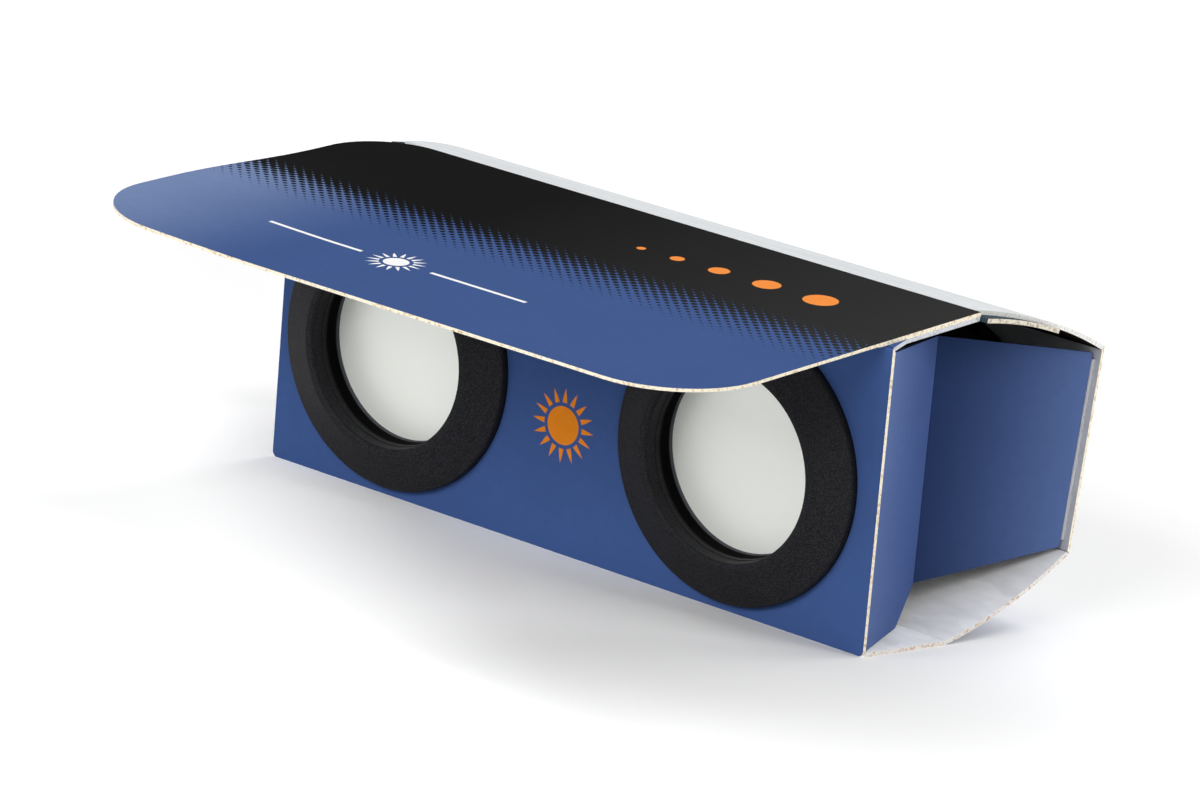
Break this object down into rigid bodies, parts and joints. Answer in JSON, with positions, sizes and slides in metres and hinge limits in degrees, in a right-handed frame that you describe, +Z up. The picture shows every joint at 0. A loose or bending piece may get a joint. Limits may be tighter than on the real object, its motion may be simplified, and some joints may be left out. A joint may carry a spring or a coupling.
{
  "type": "folding solar viewer",
  "caption": "Folding carton solar viewer with filtered objective lenses in moulded bezels, eyepieces, side gussets and a cover flap",
  "frame": {"origin": "middle of the flat outer face of the bottom front leaf, on which the viewer stands", "axes": "+X to the right facing the lenses, +Y from the lenses to the eyepieces, +Z up"},
  "size_m": [0.1151, 0.1003, 0.0491],
  "materials": {
    "blue_board": "printed satin",
    "white_board": "matt",
    "black_plastic": "fine texture",
    "filter_film": "satin",
    "clear_lens": "polished"
  },
  "bodies": {
    "front": {"front_panel": "blue_board", "objective_bezel_right": "black_plastic", "objective_bezel_left": "black_plastic", "solar_filter_right": "filter_film", "solar_filter_left": "filter_film", "objective_lens_right": "clear_lens", "objective_lens_left": "clear_lens", "lens_retaining_ring_right": "black_plastic", "lens_retaining_ring_left": "black_plastic", "bezel_clamp_ring_right": "black_plastic", "bezel_clamp_ring_left": "black_plastic", "gusset_front_tab_right": "blue_board", "gusset_front_tab_left": "blue_board"},
    "top_front": {"top_front_leaf": "blue_board", "cover_flap_base": "blue_board"},
    "flap_brim": {"cover_flap_brim": "blue_board"},
    "top_back": {"top_back_leaf": "white_board", "seam_flap": "white_board"},
    "back": {"back_panel": "white_board", "eyepiece_bezel_right": "black_plastic", "eyepiece_bezel_left": "black_plastic", "eyepiece_lens_right": "clear_lens", "eyepiece_lens_left": "clear_lens", "eyepiece_clamp_ring_right": "black_plastic", "eyepiece_clamp_ring_left": "black_plastic", "gusset_back_tab_right": "blue_board", "gusset_back_tab_left": "blue_board"},
    "bottom_front": {"bottom_front_leaf": "white_board"},
    "bottom_back": {"bottom_back_leaf": "white_board"},
    "gusset_front_right": {"gusset_front_leaf_right": "blue_board"},
    "gusset_back_right": {"gusset_back_leaf_right": "blue_board"},
    "gusset_front_left": {"gusset_front_leaf_left": "blue_board"},
    "gusset_back_left": {"gusset_back_leaf_left": "blue_board"}
  },
  "joints": [
    {"name": "top_front_fold", "type": "hinge", "parent": "front", "child": "top_front", "pos_m": [0, -0.01627, 0.04531], "axis": [1, 0, 0], "range_deg": [0, 66]},
    {"name": "top_back_fold", "type": "hinge", "parent": "top_front", "child": "top_back", "pos_m": [0, 0.00599, 0.04778], "axis": [1, 0, 0], "range_deg": [-116.42, 0]},
    {"name": "back_panel_fold", "type": "hinge", "parent": "top_back", "child": "back", "pos_m": [0, 0.03792, 0.04283], "axis": [1, 0, 0], "range_deg": [0, 50.38]},
    {"name": "bottom_front_fold", "type": "hinge", "parent": "front", "child": "bottom_front", "pos_m": [0, -0.0103, 0], "axis": [1, 0, 0], "range_deg": [-78.13, 0]},
    {"name": "bottom_back_fold", "type": "hinge", "parent": "bottom_front", "child": "bottom_back", "pos_m": [0, 0.01018, 0.00065], "axis": [1, 0, 0], "range_deg": [0, 121.8]},
    {"name": "flap_fold", "type": "hinge", "parent": "top_front", "child": "flap_brim", "pos_m": [0, -0.01636, 0.04595], "axis": [1, 0, 0], "range_deg": [-14.53, 0]},
    {"name": "gusset_front_fold_right", "type": "hinge", "parent": "front", "child": "gusset_front_right", "pos_m": [0.05515, -0.00916, 0.00015], "axis": [0, -0.1305, 0.9914], "range_deg": [0, 51.3]},
    {"name": "gusset_back_fold_right", "type": "hinge", "parent": "gusset_front_right", "child": "gusset_back_right", "pos_m": [0.04555, 0.01531, 0.00337], "axis": [0, -0.1305, 0.9914], "range_deg": [-100.3, 0]},
    {"name": "gusset_front_fold_left", "type": "hinge", "parent": "front", "child": "gusset_front_left", "pos_m": [-0.05515, -0.00916, 0.00015], "axis": [0, -0.1305, 0.9914], "range_deg": [-51.3, 0]},
    {"name": "gusset_back_fold_left", "type": "hinge", "parent": "gusset_front_left", "child": "gusset_back_left", "pos_m": [-0.04555, 0.01531, 0.00337], "axis": [0, -0.1305, 0.9914], "range_deg": [0, 100.3]}
  ],
  "couplings": [
    {"joint": "top_back_fold", "follows": "top_front_fold", "ratio": -1.763},
    {"joint": "back_panel_fold", "follows": "top_front_fold", "ratio": 0.763},
    {"joint": "bottom_front_fold", "follows": "top_front_fold", "ratio": -1.1832},
    {"joint": "bottom_back_fold", "follows": "top_front_fold", "ratio": 1.8445},
    {"joint": "flap_fold", "follows": "top_front_fold", "ratio": -0.22},
    {"joint": "gusset_front_fold_right", "follows": "top_front_fold", "ratio": 0.77689},
    {"joint": "gusset_back_fold_right", "follows": "top_front_fold", "ratio": -1.519},
    {"joint": "gusset_front_fold_left", "follows": "top_front_fold", "ratio": -0.77689},
    {"joint": "gusset_back_fold_left", "follows": "top_front_fold", "ratio": 1.519}
  ]
}
